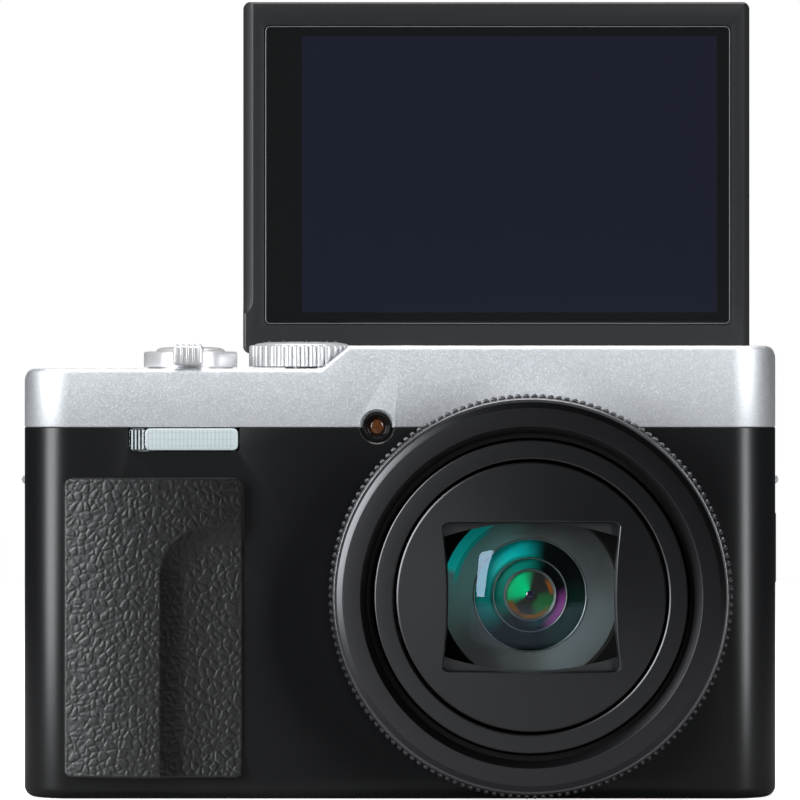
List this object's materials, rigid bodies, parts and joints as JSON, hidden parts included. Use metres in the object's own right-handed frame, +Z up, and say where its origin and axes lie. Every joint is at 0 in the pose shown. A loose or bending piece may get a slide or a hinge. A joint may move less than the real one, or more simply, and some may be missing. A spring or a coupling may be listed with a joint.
{
  "type": "compact digital camera",
  "caption": "Compact digital camera with telescoping zoom lens, control ring, flip-up screen, rear viewfinder and grip, screen raised to face forward.",
  "frame": {"origin": "centre of the tripod socket's mouth in the base plane", "axes": "+X right seen from the front, -Y towards the subject (front of the lens), +Z up"},
  "size_m": [0.1132, 0.0462, 0.1202],
  "materials": {
    "black_case": "satin black lacquer, fine grain",
    "silver_case": "silver lacquer with fine sparkle",
    "grip": "pebbled black leatherette",
    "soft_black": "matt",
    "steel": "brushed",
    "screw_black": "blackened",
    "lens_black": "matt black",
    "trim_silver": "satin with bright bevels",
    "ring_black": "black anodised, knurled",
    "black_plastic": "semi gloss",
    "grey_plastic": "matt",
    "clear": "clear",
    "coated_glass": "coated",
    "dark_glass": "polished black glass",
    "lamp_amber": "translucent amber",
    "reflector": "bright",
    "sleeve": "shrink sleeve",
    "board_green": "solder mask",
    "sensor": "glossy",
    "card_blue": "matt",
    "display": "dark display",
    "button_silver": "silver, spun",
    "movie_red": "gloss"
  },
  "bodies": {
    "body": {"front_cover": "black_case", "rear_cover": "black_case", "top_cover": "silver_case", "base_cover": "black_case", "grip_leather": "grip", "thumb_rest": "soft_black", "strap_lugs": "steel", "case_screws": "screw_black", "chassis_plate": "steel", "tripod_socket": "steel", "flash_window": "clear", "flash_reflector": "reflector", "flash_capacitor": "sleeve", "af_lamp_ring": "black_plastic", "af_lamp_lens": "lamp_amber", "lens_housing": "lens_black", "lens_trim_ring": "trim_silver", "zoom_motor": "steel", "guide_rods": "steel", "sensor_plate": "steel", "image_sensor": "sensor", "main_board": "board_green", "battery": "grey_plastic", "battery_case": "grey_plastic", "memory_card": "card_blue", "card_slot": "steel", "usb_socket": "steel", "hdmi_socket": "steel", "speaker": "black_plastic", "microphones": "steel", "eyepiece_frame": "soft_black", "eyepiece_lens": "coated_glass", "finder_module": "black_plastic", "screen_hinge_bracket": "steel"},
    "control_ring": {"control_ring": "ring_black"},
    "drive_ring": {"drive_ring": "grey_plastic"},
    "barrel_1": {"barrel_1": "lens_black"},
    "barrel_2": {"barrel_2": "lens_black", "front_plate": "lens_black", "barrier_leaves": "lens_black", "front_glass": "coated_glass", "inner_glass": "dark_glass"},
    "rear_group": {"rear_lens_holder": "lens_black", "rear_glass": "coated_glass"},
    "battery_door": {"battery_door": "black_case"},
    "battery_latch": {"battery_latch": "black_plastic"},
    "terminal_door": {"terminal_door": "black_case"},
    "diopter_wheel": {"diopter_wheel": "black_plastic"},
    "screen": {"screen_frame": "black_plastic", "screen_glass": "dark_glass", "screen_display": "display"},
    "zoom_lever": {"zoom_lever": "silver_case"},
    "shutter_button": {"shutter_button": "button_silver"},
    "mode_dial": {"mode_dial": "button_silver"},
    "power_button": {"power_button": "button_silver"},
    "movie_button": {"movie_button": "movie_red"},
    "rear_dial": {"rear_dial": "black_plastic"},
    "set_button": {"set_button": "black_plastic"},
    "playback_button": {"playback_button": "black_plastic"},
    "delete_button": {"delete_button": "black_plastic"}
  },
  "joints": [
    {"name": "control_ring_turn", "type": "hinge", "parent": "body", "child": "control_ring", "pos_m": [0.0191, -0.0204, 0.0304], "axis": [0, 1, 0], "continuous": true},
    {"name": "barrel_1_slide", "type": "slide", "parent": "body", "child": "barrel_1", "axis": [0, -1, 0], "range_m": [0, 0.012]},
    {"name": "barrel_2_slide", "type": "slide", "parent": "barrel_1", "child": "barrel_2", "axis": [0, -1, 0], "range_m": [0, 0.012]},
    {"name": "rear_group_slide", "type": "slide", "parent": "body", "child": "rear_group", "axis": [0, -1, 0], "range_m": [0, 0.0055]},
    {"name": "drive_ring_turn", "type": "hinge", "parent": "body", "child": "drive_ring", "pos_m": [0.0191, -0.0075, 0.0304], "axis": [0, 1, 0], "range_deg": [0, 80]},
    {"name": "battery_door_hinge", "type": "hinge", "parent": "body", "child": "battery_door", "pos_m": [-0.0526, -0.0015, 0.0008], "axis": [0, 1, 0], "range_deg": [0, 100]},
    {"name": "battery_latch_slide", "type": "slide", "parent": "battery_door", "child": "battery_latch", "axis": [0, 1, 0], "range_m": [0, 0.003]},
    {"name": "terminal_door_hinge", "type": "hinge", "parent": "body", "child": "terminal_door", "pos_m": [0.0556, 0.0047, 0.037], "axis": [0, 0, 1], "range_deg": [0, 100]},
    {"name": "diopter_wheel_turn", "type": "hinge", "parent": "body", "child": "diopter_wheel", "pos_m": [0.05265, 0.0035, 0.0532], "axis": [0, 0, 1], "range_deg": [-120, 120]},
    {"name": "screen_hinge", "type": "hinge", "parent": "body", "child": "screen", "pos_m": [0.0148, 0.0142, 0.063], "axis": [1, 0, 0], "range_deg": [-180, 0]},
    {"name": "zoom_lever_turn", "type": "hinge", "parent": "body", "child": "zoom_lever", "pos_m": [-0.0314, -0.0035, 0.065], "axis": [0, 0, 1], "range_deg": [-20, 20], "stiffness_Nm_per_rad": 0.02},
    {"name": "shutter_button_press", "type": "slide", "parent": "body", "child": "shutter_button", "axis": [0, 0, -1], "range_m": [0, 0.001], "stiffness_N_per_m": 150},
    {"name": "mode_dial_turn", "type": "hinge", "parent": "body", "child": "mode_dial", "pos_m": [-0.0149, 0.002, 0.065], "axis": [0, 0, 1], "continuous": true},
    {"name": "power_button_press", "type": "slide", "parent": "body", "child": "power_button", "axis": [0, 0, -1], "range_m": [0, 0.0006], "stiffness_N_per_m": 150},
    {"name": "movie_button_press", "type": "slide", "parent": "body", "child": "movie_button", "axis": [0, 0, -1], "range_m": [0, 0.0006], "stiffness_N_per_m": 150},
    {"name": "rear_dial_turn", "type": "hinge", "parent": "body", "child": "rear_dial", "pos_m": [-0.041, 0.0135, 0.02], "axis": [0, 1, 0], "continuous": true},
    {"name": "set_button_press", "type": "slide", "parent": "body", "child": "set_button", "axis": [0, -1, 0], "range_m": [0, 0.0005], "stiffness_N_per_m": 150},
    {"name": "playback_button_press", "type": "slide", "parent": "body", "child": "playback_button", "axis": [0, -1, 0], "range_m": [0, 0.0005], "stiffness_N_per_m": 150},
    {"name": "delete_button_press", "type": "slide", "parent": "body", "child": "delete_button", "axis": [0, -1, 0], "range_m": [0, 0.0005], "stiffness_N_per_m": 150}
  ],
  "couplings": [
    {"joint": "barrel_2_slide", "follows": "barrel_1_slide", "ratio": 1},
    {"joint": "rear_group_slide", "follows": "barrel_1_slide", "ratio": 0.4579},
    {"joint": "drive_ring_turn", "follows": "barrel_1_slide", "rad_per_m": 116.34}
  ]
}
